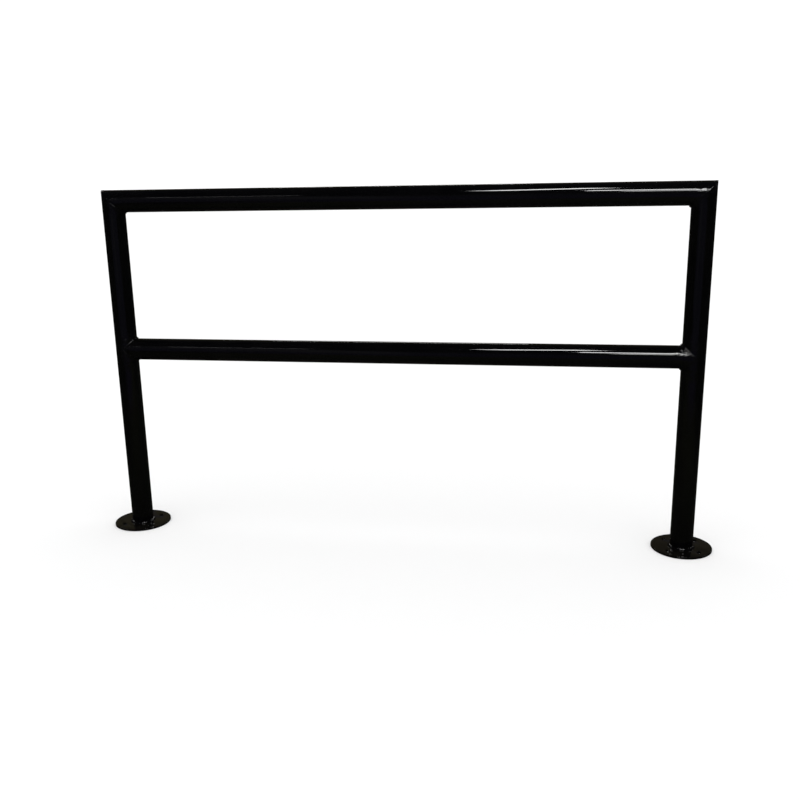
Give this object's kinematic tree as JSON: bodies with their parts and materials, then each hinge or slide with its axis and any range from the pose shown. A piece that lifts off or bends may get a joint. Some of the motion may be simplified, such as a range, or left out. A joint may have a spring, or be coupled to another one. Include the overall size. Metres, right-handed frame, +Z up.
{
  "type": "tubular hoop barrier",
  "caption": "Bolt-down guard barrier: a hoop of round steel tube with square mitred corners, a middle rail and round base plates, coated gloss black.",
  "frame": {"origin": "on the floor, midway between the two posts, at the underside of the base plates", "axes": "+X along the rails from the left post to the right post, +Y across the barrier towards its back, +Z up"},
  "size_m": [1.72, 0.16, 0.9705],
  "materials": {
    "tube_coat": "gloss black powder coat on steel tube",
    "plate_coat": "gloss black powder coat on flat plate",
    "weld_coat": "gloss black powder coat over weld bead"
  },
  "bodies": {
    "root": {"left_post": "tube_coat", "right_post": "tube_coat", "top_rail": "tube_coat", "mid_rail": "tube_coat", "left_base_plate": "plate_coat", "right_base_plate": "plate_coat", "left_corner_weld": "weld_coat", "right_corner_weld": "weld_coat", "left_mid_rail_weld": "weld_coat", "right_mid_rail_weld": "weld_coat", "left_base_weld": "weld_coat", "right_base_weld": "weld_coat"}
  },
  "joints": []
}
